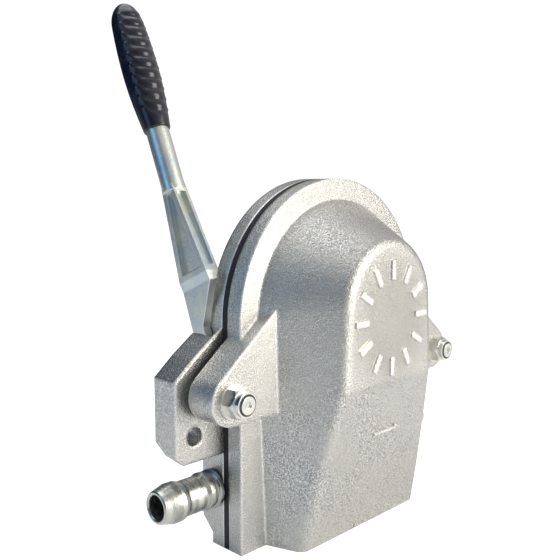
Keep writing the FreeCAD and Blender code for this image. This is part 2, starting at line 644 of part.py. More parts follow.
def diaphragm():
    """One rubber moulding: its rim is the joint between the castings, its two lobes do the pumping."""
    sheet = horseshoe("sizes.flange_radius", FOOT_Z, COVER_FACE, REAR_FACE)
    holes = []
    past = over(COVER_FACE, REAR_FACE)
    for sign in ("+", "-"):
        holes.append(rod("y", "sizes.lobe_radius", *past, "0", SHAFT_Z + sign + "sizes.lobe_offset"))
    for side in (-1, 1):
        near = GALLERY_X + " - sizes.gallery_half"
        x = span(side, near, GALLERY_X + " + sizes.gallery_half")
        z = ("-(sizes.port_drop + sizes.port_bore)", "-(sizes.port_drop - sizes.port_bore)")
        holes.append(box(x, past, z))
    keep("diaphragm", fuse(cut(sheet, *holes), lobe("+"), lobe("-")))


# ---- drive shaft, its bushes, seals and end plug -----------------------------------------------------

def tube(outer, inner, start, end):
    """A ring round the shaft's axis."""
    ring = rod("x", outer, start, end, SHAFT_Y, SHAFT_Z)
    return cut(ring, rod("x", inner, *over(start, end), SHAFT_Y, SHAFT_Z))


def cross_pin(x, reach, angle):
    """A pin across the shaft, front to back, leaning with the piece that it holds."""
    pin = group(rod("y", "sizes.pin_radius", "-(" + reach + ")", reach, x, "0"))
    return lean(pin, angle)


SHAFT_END = "sizes.flange_radius - 0.4 * sizes.plug_length"


def shaft_pieces():
    """The shaft with its cross holes, two bushes, two seals and the plug behind its right end."""
    left = "-(" + LEVER_REACH + " + sizes.hub_half)"
    shank = rod("x", "sizes.shaft_radius", left, SHAFT_END + " - sizes.end_play", SHAFT_Y, SHAFT_Z)
    lever_hole = cross_pin("-" + LEVER_REACH, "sizes.shaft_radius + sizes.past", "sizes.lever_lean")
    rocker_hole = cross_pin("0", "sizes.shaft_radius + sizes.past", "sizes.rocker_lean")
    keep("drive_shaft", cut(shank, lever_hole, rocker_hole))
    outer = "sizes.shaft_radius + sizes.bush_wall"
    inner = "sizes.shaft_radius + sizes.run_gap"
    mouth = "(" + LEVER_REACH + " - sizes.hub_half - sizes.slot_gap)"
    keep("shaft_bush_left", tube(outer, inner, "-" + mouth, "-" + mouth + " + sizes.bush_length"))
    keep("shaft_bush_right", tube(outer, inner, SHAFT_END + " - sizes.bush_length", SHAFT_END))
    for side, name in ((-1, "shaft_seal_left"), (1, "shaft_seal_right")):
        near = "sizes.chamber_half + sizes.fit_gap"
        start, end = span(side, near, "sizes.chamber_half + sizes.seal_width")
        keep(name, tube(SEAL_RADIUS, inner, start, end))
    plug_end = SHAFT_END + " + sizes.plug_length"
    barrel = rod("x", outer, SHAFT_END, plug_end, SHAFT_Y, SHAFT_Z)
    socket = document.addObject("Part::Prism", "socket")
    socket.Polygon = 6
    socket.Placement = FreeCAD.Placement(FreeCAD.Vector(), FreeCAD.Rotation(Z_AXIS, X_AXIS))
    bind(socket, {"Circumradius": "sizes.plug_socket", "Height": "sizes.socket_depth + sizes.past"})
    shift(socket, plug_end + " - sizes.socket_depth", SHAFT_Y, SHAFT_Z)
    keep("shaft_end_plug", cut(barrel, socket))


# ---- lever and grip, drawn along Z from the shaft and leaning back -----------------------------------

HUB_X = "-" + LEVER_REACH
STEM_X = "-" + STEM_REACH
STEM_Y = "-sizes.stem_set"


def around(middle, half):
    """The span either side of a middle."""
    return (middle + " - (" + half + ")", middle + " + (" + half + ")")


def blade():
    """The flat lower end of the lever, which runs in the lug's slot and widens forward to the shoulder."""
    back = STEM_Y + " + sizes.shoulder_half"
    front = STEM_Y + " - sizes.shoulder_half"
    corners = [
        ("-" + HUB_RADIUS, "0"),
        ("sizes.blade_back", "0"),
        (back, "sizes.blade_end"),
        (front, "sizes.blade_end"),
        ("-" + HUB_RADIUS, "sizes.lug_crest - sizes.shaft_height - sizes.bend_drop"),
    ]
    outer_face = "-(" + LEVER_REACH + " + sizes.hub_half)"
    return slab("blade", "YZ_Plane", corners, "2 * sizes.hub_half", outer_face)


def stem_recesses():
    """Hollows in the stem's four sides that leave a rib along each of its edges."""
    low = "sizes.recess_start"
    high = "sizes.recess_end"
    wide = "sizes.shoulder_half - sizes.rib"
    slim = "sizes.ribs_half - sizes.slim_rib"
    hollows = []
    for sign in ("+", "-"):
        thick = ("sizes.stem_half", "sizes.ribs_half")
        beds = [STEM_X + sign + "(" + half + " - sizes.recess)" for half in thick]
        out = STEM_X + sign + "(sizes.stem_half + sizes.recess)"
        spans = [(bed, out) if sign == "+" else (out, bed) for bed in beds]
        hollows.append(taper(low, high, spans[0], around(STEM_Y, wide), spans[1], around(STEM_Y, slim)))
        broad = ("sizes.shoulder_half", "sizes.ribs_half")
        beds = [STEM_Y + sign + "(" + half + " - sizes.edge_recess)" for half in broad]
        out = STEM_Y + sign + "(sizes.shoulder_half + sizes.edge_recess)"
        spans = [(bed, out) if sign == "+" else (out, bed) for bed in beds]
        groove = around(STEM_X, "sizes.stem_half - sizes.ridge")
        end_groove = around(STEM_X, "sizes.ribs_half - sizes.ridge")
        hollows.append(taper(low, high, groove, spans[0], end_groove, spans[1]))
    return hollows


def handle_lever():
    """A forged lever: hub, flat blade, shoulder, tapering stem recessed on its four sides, round bar."""
    hub = around(HUB_X, "sizes.hub_half")
    flank = around(STEM_X, "sizes.stem_half")
    tip = around(STEM_X, "sizes.ribs_half")
    breadth = around(STEM_Y, "sizes.shoulder_half")
    slim = around(STEM_Y, "sizes.ribs_half")
    solid = [
        rod("x", HUB_RADIUS, *hub, "0", "0"),
        blade(),
        taper("sizes.blade_end", "sizes.shoulder_at", hub, breadth, flank, breadth),
        taper("sizes.shoulder_at", "sizes.ribs_end", flank, breadth, tip, slim),
        rod("z", "sizes.bar_radius", "sizes.bar_start", "sizes.bar_end", STEM_X, STEM_Y),
    ]
    hollow = stem_recesses()
    hollow.append(rod("x", "sizes.shaft_radius", *over(hub[0], hub[1]), "0", "0"))
    hollow.append(rod("y", "sizes.pin_radius", *around("0", HUB_RADIUS + " + sizes.past"), HUB_X, "0"))
    keep("handle_lever", lean(cut(fuse(*solid), *hollow), "sizes.lever_lean"))
    keep("lever_pin", cross_pin(HUB_X, HUB_RADIUS + " - sizes.pin_inset", "sizes.lever_lean"))


def handle_grip():
    """A moulded sleeve on the bar: slim by the lever, fullest near its middle, with a domed closed end."""
    length = "(sizes.grip_end - sizes.grip_start)"
    stations = [
        ("0", "sizes.grip_waist"),
        ("0.2", "sizes.grip_rise"),
        ("0.47", "sizes.grip_radius"),
        ("0.7", "sizes.grip_slope"),
        ("0.87", "sizes.grip_neck"),
        ("0.955", "sizes.grip_dome"),
        ("1", "sizes.grip_tip"),
    ]
    rings = []
    for (start, thin), (end, thick) in zip(stations, stations[1:]):
        low = "sizes.grip_start + " + length + " * " + start
        high = "sizes.grip_start + " + length + " * " + end
        rings.append(cone("z", thin, thick, low, high, STEM_X, STEM_Y))
    bore = rod("z", "sizes.bar_radius", "sizes.grip_start - sizes.past", "sizes.bar_end", STEM_X, STEM_Y)
    keep("handle_grip", lean(cut(fuse(*rings), bore), "sizes.lever_lean"))


# ---- rocker and clamps, drawn upright about the shaft and leaning with it ----------------------------

def rocker():
    """A hub with an arm up and down, each ending in a round pad behind the diaphragm."""
    pad_face = SHEET_MID + " + sizes.lobe_wall / 2 + sizes.clamp_gap"
    pad_back = pad_face + " + sizes.pad_thick"
    arm_back = pad_back + " + sizes.arm_thick"
    reach = "(sizes.lobe_offset + sizes.arm_reach)"
    hub = around("0", "sizes.hub_spread")
    arm_y = (pad_back, arm_back)
    solid = [
        rod("x", ROCKER_HUB, *hub, "0", "0"),
        box(around("0", "sizes.arm_half"), arm_y, around("0", reach)),
    ]
    hollow = [
        rod("x", "sizes.shaft_radius", *around("0", "sizes.hub_spread + sizes.past"), "0", "0"),
        rod("y", "sizes.pin_radius", *around("0", "2 * " + ROCKER_HUB), "0", "0"),
    ]
    disc_back = SHEET_MID + " - sizes.lobe_wall / 2 - sizes.clamp_gap"
    disc_face = disc_back + " - sizes.disc_thick"
    for sign, name in (("", "upper"), ("-", "lower")):
        z = sign + "sizes.lobe_offset"
        solid.append(rod("y", "sizes.pad_radius - sizes.fit_gap", pad_face, pad_back, "0", z))
        hollow.append(rod("y", "sizes.screw_radius", *over(pad_face, arm_back), "0", z))
        disc = rod("y", "sizes.pad_radius - sizes.past", disc_face, disc_back, "0", z)
        hole = rod("y", "sizes.screw_radius", *over(disc_face, disc_back), "0", z)
        keep(name + "_clamp_disc", lean(cut(disc, hole), "sizes.rocker_lean"))
        shank = rod("y", "sizes.screw_radius", disc_face, arm_back + " - sizes.fit_gap", "0", z)
        head = rod("y", "sizes.screw_head", disc_face + " - sizes.screw_cap", disc_face, "0", z)
        keep(name + "_clamp_screw", lean(fuse(shank, head), "sizes.rocker_lean"))
    keep("rocker", lean(cut(fuse(*solid), *hollow), "sizes.rocker_lean"))
    keep("rocker_pin", cross_pin("0", ROCKER_HUB + " - sizes.pin_inset", "sizes.rocker_lean"))


# ---- hose tails --------------------------------------------------------------------------------------

def hose_tail(side, name):
    """A turned spigot with a bead and a barb; its threaded end screws into the port over a sealing ring."""
    ways = [
        ("-sizes.tail_spigot", "sizes.port_bore"),
        ("-sizes.tail_spigot", "sizes.tail_thread"),
        ("sizes.ring_thick", "sizes.tail_thread"),
        ("sizes.ring_thick", "sizes.bead_radius"),
        ("sizes.collar_end", "sizes.bead_radius"),
        ("sizes.waist_start", "sizes.neck_radius"),
        ("sizes.bead_start", "sizes.neck_radius"),
        ("sizes.bead_top", "sizes.bead_radius"),
        ("sizes.bead_end", "sizes.bead_radius"),
        ("sizes.neck_start", "sizes.neck_radius"),
        ("sizes.neck_end", "sizes.neck_radius"),
        ("sizes.land_start", "sizes.land_radius"),
        ("sizes.land_end", "sizes.land_radius"),
        ("sizes.barb_top", "sizes.barb_radius"),
        ("sizes.barb_end", "sizes.barb_radius"),
        ("sizes.tail_length - sizes.tip_round", "sizes.tip_radius"),
        ("sizes.tail_length", "sizes.tip_radius - sizes.tip_round"),
        ("sizes.tail_length", "sizes.port_bore + sizes.tip_round"),
        ("sizes.tail_length - sizes.tip_round", "sizes.port_bore"),
    ]
    corners = [(mirrored(side, "(sizes.flange_radius + " + a + ")"), r) for a, r in ways]
    tail = turned(name + "_blank", corners)
    shift(tail, "0", "-sizes.port_depth", "-sizes.port_drop")
    keep(name, tail)


def sealing_ring(side, name):
    """A flat ring between a port's face and its hose tail."""
    start, end = span(side, "sizes.flange_radius", "sizes.flange_radius + sizes.ring_thick")
    place = ("-sizes.port_depth", "-sizes.port_drop")
    ring = rod("x", "sizes.bead_radius - sizes.ring_thick", start, end, *place)
    keep(name, cut(ring, rod("x", "sizes.tail_thread", *over(start, end), *place)))


# ---- valves ------------------------------------------------------------------------------------------

def valve_heights():
    """The levels of the upper and the lower valve."""
    return {"upper": SHAFT_Z + " + sizes.valve_offset", "lower": SHAFT_Z + " - sizes.valve_offset"}


def valve_set(side, name):
    """A plate across the cover with two ports, a rubber flap on each, clamp strips and rivets."""
    face = "sizes.plate_reach"
    low_x = mirrored(side, face) + " - sizes.plate_half"
    high_x = mirrored(side, face) + " + sizes.plate_half"
    heights = (FOOT_Z, "sizes.arc_height + sizes.flange_radius")
    slice_box = box((low_x, high_x), (DOME_FACE, COVER_FACE + " - sizes.clamp_gap"), heights)
    plate = common(cover_core(name + "_core", "sizes.fit_gap"), slice_box)
    strip_x = (high_x, high_x + " + sizes.strip_thick")
    across = (VALVE_Y + " - sizes.flap_half", VALVE_Y + " + sizes.flap_half")
    ports = []
    strips = []
    rivets = []
    for level, z in valve_heights().items():
        ports.append(rod("x", "sizes.valve_port", *over(low_x, high_x), VALVE_Y, z))
        top = z + " + sizes.flap_length / 2"
        flap_x = (high_x + " + sizes.run_gap", high_x + " + sizes.flap_thick")
        flap = box(flap_x, across, (z + " - sizes.flap_length / 2", top))
        keep(name + "_flap_" + level, flap)
        foot = top + " + sizes.fit_gap"
        strip = box(strip_x, across, (foot, foot + " + sizes.strip_height"))
        rivet_z = foot + " + sizes.strip_height / 2"
        holes = []
        for sign in ("+", "-"):
            y = VALVE_Y + sign + "(sizes.flap_half - sizes.rivet_inset)"
            through = (low_x + " - sizes.past", high_x + " + sizes.strip_thick + sizes.past")
            holes.append(rod("x", "sizes.rivet_radius", *through, y, rivet_z))
            shank = rod("x", "sizes.rivet_radius", low_x, strip_x[1], y, rivet_z)
            head_x = (strip_x[1], strip_x[1] + " + sizes.rivet_radius")
            head = rod("x", "sizes.rivet_head", *head_x, y, rivet_z)
            rivets.append(fuse(shank, head))
            ports.append(rod("x", "sizes.rivet_radius", *through, y, rivet_z))
        strips.append(cut(strip, *holes))
    keep(name + "_valve_plate", cut(plate, *ports))
    keep(name + "_flap_strips", group(*strips))
    keep(name + "_flap_rivets", group(*rivets))


rear_body()
front_cover()
cover_fixings()
diaphragm()
shaft_pieces()
handle_lever()
handle_grip()
rocker()
hose_tail(-1, "inlet_hose_tail")
hose_tail(1, "outlet_hose_tail")
sealing_ring(-1, "inlet_sealing_ring")
sealing_ring(1, "outlet_sealing_ring")
valve_set(-1, "inlet")
valve_set(1, "outlet")

document.recompute()
failed = [thing.Name for thing in document.Objects if "Invalid" in thing.State or "Error" in thing.State]
if failed:
    raise RuntimeError("features that failed: " + ", ".join(failed))
for part in parts:
    if part.Shape.isNull() or not part.Shape.isValid() or not part.Shape.Solids:
        raise RuntimeError("no sound solid in " + part.Label)

os.makedirs("parts", exist_ok=True)
for part in parts:
    part.Shape.exportStep("parts/" + part.Label + ".step")
    print(part.Label, len(part.Shape.Solids), round(part.Shape.Volume))
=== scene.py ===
import bpy
import json
import math
import numpy as np
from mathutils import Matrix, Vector


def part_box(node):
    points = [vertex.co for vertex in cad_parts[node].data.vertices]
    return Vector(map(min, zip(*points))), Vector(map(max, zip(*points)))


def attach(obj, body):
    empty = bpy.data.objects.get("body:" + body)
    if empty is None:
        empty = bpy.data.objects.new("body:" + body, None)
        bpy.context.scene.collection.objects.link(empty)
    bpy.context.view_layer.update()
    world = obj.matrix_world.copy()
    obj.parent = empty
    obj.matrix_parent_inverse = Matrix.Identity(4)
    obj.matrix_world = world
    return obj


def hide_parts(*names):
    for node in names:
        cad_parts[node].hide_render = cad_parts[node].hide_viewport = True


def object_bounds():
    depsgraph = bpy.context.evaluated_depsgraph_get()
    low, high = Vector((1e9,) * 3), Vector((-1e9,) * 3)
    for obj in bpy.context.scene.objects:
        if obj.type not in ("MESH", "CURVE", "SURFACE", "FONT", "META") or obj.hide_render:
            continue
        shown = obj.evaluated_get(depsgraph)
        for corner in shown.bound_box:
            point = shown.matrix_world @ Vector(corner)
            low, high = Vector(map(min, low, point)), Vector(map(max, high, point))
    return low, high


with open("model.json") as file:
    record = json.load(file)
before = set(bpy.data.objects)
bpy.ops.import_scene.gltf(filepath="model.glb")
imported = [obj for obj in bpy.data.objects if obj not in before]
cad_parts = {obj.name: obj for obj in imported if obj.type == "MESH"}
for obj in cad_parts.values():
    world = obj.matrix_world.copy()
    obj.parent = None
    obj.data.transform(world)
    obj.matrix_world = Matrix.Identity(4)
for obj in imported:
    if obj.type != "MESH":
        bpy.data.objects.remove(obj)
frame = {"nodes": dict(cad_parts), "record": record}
cad_low, cad_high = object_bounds()
nodes = frame["nodes"]
MM = 0.001

# ---- The view and the studio ---------------------------------------------------------------------
# The camera stands off the cover's left corner with a short telephoto lens. The pump stands on a white
# floor in soft light from three panels, the main one warm. The floor and the world look whiter to the
# camera than the light that they give the pump.

WHITE = (1.0, 1.0, 1.0, 1.0)
VIEW_AZIMUTH = math.radians(-45.56)
VIEW_ELEVATION = math.radians(6.83)
VIEW_DISTANCE = 544.55 * MM
VIEW_TARGET = Vector((-48.71, -28.0, 100.47)) * MM
LENS = 48.15
NEAR_CLIP = 20.0 * MM
FLOOR_SPAN = 9.0
FLOOR_COLOUR = (0.94, 0.935, 0.92, 1.0)
FLOOR_BOUNCE = (0.88, 0.885, 0.885, 1.0)
FLOOR_ROUGHNESS = 0.9
FLOOR_GLOW = 0.11
FLOOR_SEEN_GLOW = 0.85
SKY_DARK = (0.0, 0.016, 0.045, 1.0)
SKY_LIGHT = (0.62, 0.605, 0.58, 1.0)
SKY_LIGHT_SIDE = (0.62, -0.55, 0.56)
SKY_DARK_AT = -0.45
SKY_LIGHT_AT = 0.95
SKY_STRENGTH = 1.0
BACKDROP_STRENGTH = 1.05
PANELS_FACE = Vector((0.0, -0.02, 0.08))
KEY_PANEL = dict(place=(0.50, -1.30, 0.50), width=0.8, height=1.1, power=15.5, colour=(1.0, 0.95, 0.85))
LEFT_PANEL = dict(place=(-1.25, 0.25, 0.55), width=0.6, height=1.2, power=2.6, colour=(0.30, 0.62, 1.0))
TOP_PANEL = dict(place=(-0.10, 0.30, 1.25), width=1.2, height=0.8, power=5.0, colour=(1.0, 1.0, 1.0))


def surface(name, points, faces, smooth=True):
    """A linked mesh object from an array of points and faces, which may differ in their corners."""
    mesh = bpy.data.meshes.new(name)
    corners = [[int(corner) for corner in face] for face in faces]
    mesh.from_pydata(np.asarray(points, float).tolist(), [], corners)
    mesh.update()
    if smooth:
        mesh.shade_smooth()
    thing = bpy.data.objects.new(name, mesh)
    bpy.context.scene.collection.objects.link(thing)
    return thing


def plain_material(name, colour, roughness, metallic=0.0):
    """A material with its shader's sockets set; returns it with its tree and its shader."""
    material = bpy.data.materials.new(name)
    material.use_nodes = True
    tree = material.node_tree
    shader = tree.nodes["Principled BSDF"]
    shader.inputs["Base Color"].default_value = colour
    shader.inputs["Roughness"].default_value = roughness
    shader.inputs["Metallic"].default_value = metallic
    return material, tree, shader


def add_range(tree, value, low, high, out_low=0.0, out_high=1.0):
    """A smooth remap of a value from low..high to out_low..out_high."""
    node = tree.nodes.new("ShaderNodeMapRange")
    node.interpolation_type = "SMOOTHSTEP"
    tree.links.new(value, node.inputs["Value"])
    for name, number in zip(("From Min", "From Max", "To Min", "To Max"), (low, high, out_low, out_high)):
        node.inputs[name].default_value = number
    return node.outputs["Result"]


def add_mix(tree, factor, first, second):
    """A colour mix; the factor and each colour are a socket or plain values."""
    node = tree.nodes.new("ShaderNodeMix")
    node.data_type = "RGBA"
    for socket, value in ((node.inputs["Factor"], factor), (node.inputs[6], first), (node.inputs[7], second)):
        if isinstance(value, (tuple, float)):
            socket.default_value = value
        else:
            tree.links.new(value, socket)
    return node.outputs[2]


def view_camera():
    """The camera, turned to the target from the view's azimuth, elevation and distance."""
    view_back = Vector((
        math.sin(VIEW_AZIMUTH) * math.cos(VIEW_ELEVATION),
        -math.cos(VIEW_AZIMUTH) * math.cos(VIEW_ELEVATION),
        math.sin(VIEW_ELEVATION),
    ))
    camera = bpy.data.objects.new("camera", bpy.data.cameras.new("camera"))
    camera.data.lens = LENS
    camera.data.clip_start = NEAR_CLIP
    camera.location = VIEW_TARGET + view_back * VIEW_DISTANCE
    camera.rotation_euler = view_back.to_track_quat("Z", "Y").to_euler()
    bpy.context.scene.collection.objects.link(camera)
    bpy.context.scene.camera = camera
    bpy.context.scene.view_settings.view_transform = "Standard"


def white_floor():
    """A wide floor level with the pump's lowest point, whiter to the camera than to the pump."""
    half = FLOOR_SPAN / 2
    corners = [(x * half, y * half, cad_low[2]) for x, y in ((-1, -1), (1, -1), (1, 1), (-1, 1))]
    floor = surface("floor", corners, [(0, 1, 2, 3)], smooth=False)
    paint, tree, shader = plain_material("white_floor", FLOOR_COLOUR, FLOOR_ROUGHNESS)
    shader.inputs["Emission Color"].default_value = WHITE
    seen = tree.nodes.new("ShaderNodeLightPath").outputs["Is Camera Ray"]
    tree.links.new(add_mix(tree, seen, FLOOR_BOUNCE, FLOOR_COLOUR), shader.inputs["Base Color"])
    glow = add_range(tree, seen, 0.0, 1.0, FLOOR_GLOW, FLOOR_SEEN_GLOW)
    tree.links.new(glow, shader.inputs["Emission Strength"])
    floor.data.materials.append(paint)


def studio_sky():
    """A world that is light on one side and dark on the other, and plain white to the camera."""
    world = bpy.data.worlds.new("studio")
    bpy.context.scene.world = world
    world.use_nodes = True
    tree = world.node_tree
    sky = tree.nodes["Background"]
    sky.inputs["Strength"].default_value = SKY_STRENGTH
    facing = tree.nodes.new("ShaderNodeVectorMath")
    facing.operation = "DOT_PRODUCT"
    facing.inputs[1].default_value = SKY_LIGHT_SIDE
    direction = tree.nodes.new("ShaderNodeTexCoord").outputs["Generated"]
    tree.links.new(direction, facing.inputs[0])
    share = add_range(tree, facing.outputs["Value"], SKY_DARK_AT, SKY_LIGHT_AT)
    tree.links.new(add_mix(tree, share, SKY_DARK, SKY_LIGHT), sky.inputs["Color"])
    backdrop = tree.nodes.new("ShaderNodeBackground")
    backdrop.inputs["Color"].default_value = WHITE
    backdrop.inputs["Strength"].default_value = BACKDROP_STRENGTH
    seen = tree.nodes.new("ShaderNodeLightPath").outputs["Is Camera Ray"]
    chooser = tree.nodes.new("ShaderNodeMixShader")
    tree.links.new(seen, chooser.inputs["Fac"])
    tree.links.new(sky.outputs["Background"], chooser.inputs[1])
    tree.links.new(backdrop.outputs["Background"], chooser.inputs[2])
    tree.links.new(chooser.outputs["Shader"], tree.nodes["World Output"].inputs["Surface"])


def light_panel(name, place, width, height, power, colour):
    """A rectangular area light at a place, facing the middle of the pump."""
    light = bpy.data.lights.new(name, "AREA")
    light.shape = "RECTANGLE"
    light.size = width
    light.size_y = height
    light.energy = power
    light.color = colour
    lamp = bpy.data.objects.new(name, light)
    lamp.location = place
    lamp.rotation_euler = (Vector(place) - PANELS_FACE).to_track_quat("Z", "Y").to_euler()
    bpy.context.scene.collection.objects.link(lamp)


view_camera()
white_floor()
studio_sky()
light_panel("key_panel", **KEY_PANEL)
light_panel("left_panel", **LEFT_PANEL)
light_panel("top_panel", **TOP_PANEL)


# ---- Rear housing and front cover ----------------------------------------------------------------
# Both are sand castings in aluminium, tumbled until they shine. Their skin is pitted and speckled, their
# edges are worn smooth, and the cover's face carries a ring of plain raised bars.

CAST_COLOUR = (0.63, 0.625, 0.605, 1.0)
CAST_DARK = (0.17, 0.185, 0.205, 1.0)
CAST_BRIGHT = (0.98, 0.97, 0.94, 1.0)
CAST_METALLIC = 0.93
# The edges' brightening is real wear together with a painted highlight.
CAST_WEAR_AND_HIGHLIGHT = 9.0
CAST_EDGE = 3.2 * MM
CAST_GRAIN = 1.0 * MM
FINE_GRAIN = 2.6
LUMP_GRAIN = 0.30
MOTTLE_SCALE = 24.0
MOTTLE_DULLING = 0.7
PIT_ROUGHNESS = 0.38
GRAIN_ROUGHNESS = 0.19
COVER_RELIEF = 0.55 * MM
COVER_CONTRAST = 0.60
HOUSING_RELIEF = 0.36 * MM
HOUSING_CONTRAST = 0.45
# A painted shade: the cover's face is darkened in a soft disc about the ring's middle.
COVER_PAINTED_SHADE = (0.36, 0.355, 0.335, 1.0)
PAINTED_SHADE_SHARE = 0.62
PAINTED_SHADE_CORE = 24.0 * MM
PAINTED_SHADE_REACH = 62.0 * MM
RING_HEIGHT = 74.0 * MM
BEVEL_SAMPLES = 6
RUBBED_DEPTH = 0.2 * MM
UNRUBBED_DEPTH = 1.1 * MM
FACE_DEPTH = 4.0 * MM
SIDE_DEPTH = 12.0 * MM


def new_group(name, inputs, outputs):
    """A node group whose sockets are names with their kinds; returns it with its input and output nodes."""
    tree = bpy.data.node_groups.new(name, "ShaderNodeTree")
    for direction, sockets in (("INPUT", inputs), ("OUTPUT", outputs)):
        for socket, kind in sockets.items():
            tree.interface.new_socket(socket, in_out=direction, socket_type="NodeSocket" + kind)
    return tree, tree.nodes.new("NodeGroupInput"), tree.nodes.new("NodeGroupOutput")


def add_math(tree, operation, first, second=None, clamp=False):
    """A Math node fed by sockets or plain numbers; returns its output socket."""
    node = tree.nodes.new("ShaderNodeMath")
    node.operation = operation
    node.use_clamp = clamp
    for socket, value in zip(node.inputs, (first, second)):
        if isinstance(value, (int, float)):
            socket.default_value = value
        elif value is not None:
            tree.links.new(value, socket)
    return node.outputs[0]


def add_noise(tree, vector, scale, detail=3.0, roughness=0.55):
    """A noise texture on a vector; its scale is cycles per metre, given as a number or a socket."""
    node = tree.nodes.new("ShaderNodeTexNoise")
    node.inputs["Detail"].default_value = detail
    node.inputs["Roughness"].default_value = roughness
    tree.links.new(vector, node.inputs["Vector"])
    if isinstance(scale, (int, float)):
        node.inputs["Scale"].default_value = scale
    else:
        tree.links.new(scale, node.inputs["Scale"])
    return node.outputs["Fac"]


def weighted_sum(tree, *terms):
    """The sum of some sockets, each given with its weight."""
    total = None
    for socket, weight in terms:
        part = add_math(tree, "MULTIPLY", socket, weight)
        total = part if total is None else add_math(tree, "ADD", total, part)
    return total


def edge_wear_and_highlight_group():
    """Where a surface bends sharply: its own normal against its rounded-off one, broken up by a noise. The
    mask marks worn edges and carries a painted highlight on them.
    """
    tree, given, result = new_group("edge_wear_and_highlight", {"Vector": "Vector", "Radius": "Float", "Strength": "Float"},
                                    {"Mask": "Float", "Normal": "Vector"})
    bevel = tree.nodes.new("ShaderNodeBevel")
    bevel.samples = BEVEL_SAMPLES
    tree.links.new(given.outputs["Radius"], bevel.inputs["Radius"])
    geometry = tree.nodes.new("ShaderNodeNewGeometry")
    dot = tree.nodes.new("ShaderNodeVectorMath")
    dot.operation = "DOT_PRODUCT"
    tree.links.new(bevel.outputs["Normal"], dot.inputs[0])
    tree.links.new(geometry.outputs["Normal"], dot.inputs[1])
    bend = add_math(tree, "SUBTRACT", 1.0, dot.outputs["Value"])
    patches = add_noise(tree, given.outputs["Vector"], scale=260.0, detail=2.0)
    uneven = add_range(tree, patches, low=0.3, high=0.7, out_low=0.45, out_high=1.3)
    strong = add_math(tree, "MULTIPLY", bend, given.outputs["Strength"])
    tree.links.new(add_math(tree, "MULTIPLY", strong, uneven, clamp=True), result.inputs["Mask"])
    tree.links.new(bevel.outputs["Normal"], result.inputs["Normal"])
    return tree


def cast_skin_group():
    """Sand-cast skin: grains, fine pits, slow lumps and a mottle, as a height, a speckle and a mottle."""
    tree, given, result = new_group("cast_skin", {"Vector": "Vector", "Grain": "Float"},
                                    {"Height": "Float", "Speckle": "Float", "Mottle": "Float"})
    place = given.outputs["Vector"]
    grain = given.outputs["Grain"]
    coarse = add_noise(tree, place, grain, detail=2.0, roughness=0.6)
    fine = add_noise(tree, place, add_math(tree, "MULTIPLY", grain, FINE_GRAIN), detail=2.0, roughness=0.5)
    lumps = add_noise(tree, place, add_math(tree, "MULTIPLY", grain, LUMP_GRAIN), detail=2.0, roughness=0.5)
    slow = add_noise(tree, place, MOTTLE_SCALE, detail=3.0, roughness=0.6)
    height = weighted_sum(tree, (coarse, 0.75), (fine, 0.2), (lumps, 0.45))
    tree.links.new(height, result.inputs["Height"])
    tree.links.new(add_range(tree, coarse, low=0.38, high=0.62), result.inputs["Speckle"])
    tree.links.new(add_range(tree, slow, low=0.35, high=0.65), result.inputs["Mottle"])
    return tree


edge_wear_and_highlight = edge_wear_and_highlight_group()
cast_skin = cast_skin_group()


def place_group(tree, group, **values):
    """A node group placed in a material, with its numbers set and its vector from Object coordinates."""
    node = tree.nodes.new("ShaderNodeGroup")
    node.node_tree = group
    if "Vector" in node.inputs:
        coordinates = tree.nodes.new("ShaderNodeTexCoord")
        tree.links.new(coordinates.outputs["Object"], node.inputs["Vector"])
    for name, value in values.items():
        node.inputs[name].default_value = value
    return node


def add_bump(tree, height, distance, normal=None):
    """A Bump node of a given depth in metres over an optional base normal."""
    node = tree.nodes.new("ShaderNodeBump")
    node.inputs["Distance"].default_value = distance
    tree.links.new(height, node.inputs["Height"])
    if normal is not None:
        tree.links.new(normal, node.inputs["Normal"])
    return node.outputs["Normal"]


def between(first, second, share):
    """A colour part of the way from one colour to another."""
    return tuple(a + (b - a) * share for a, b in zip(first, second))


def tops_and_painted_shade_group():
    """Two masks on the cover's face: the raised marks' tops, which are rubbed bright, and a soft disc of
    painted shade about the ring's middle."""
    inputs = {"Vector": "Vector", "TopLevel": "Float", "MiddleHeight": "Float"}
    tree, given, result = new_group("tops_and_painted_shade", inputs, {"Rubbed": "Float", "PaintedShade": "Float"})
    parts = tree.nodes.new("ShaderNodeSeparateXYZ")
    tree.links.new(given.outputs["Vector"], parts.inputs["Vector"])
    depth = add_math(tree, "SUBTRACT", parts.outputs["Y"], given.outputs["TopLevel"])
    tree.links.new(add_range(tree, depth, RUBBED_DEPTH, UNRUBBED_DEPTH, 1.0, 0.0), result.inputs["Rubbed"])
    rise = add_math(tree, "SUBTRACT", parts.outputs["Z"], given.outputs["MiddleHeight"])
    across = add_math(tree, "MULTIPLY", parts.outputs["X"], parts.outputs["X"])
    reach = add_math(tree, "SQRT", add_math(tree, "ADD", across, add_math(tree, "MULTIPLY", rise, rise)))
    front = add_range(tree, depth, FACE_DEPTH, SIDE_DEPTH, 1.0, 0.0)
    disc = add_range(tree, reach, PAINTED_SHADE_CORE, PAINTED_SHADE_REACH, 1.0, 0.0)
    tree.links.new(add_math(tree, "MULTIPLY", front, disc), result.inputs["PaintedShade"])
    return tree


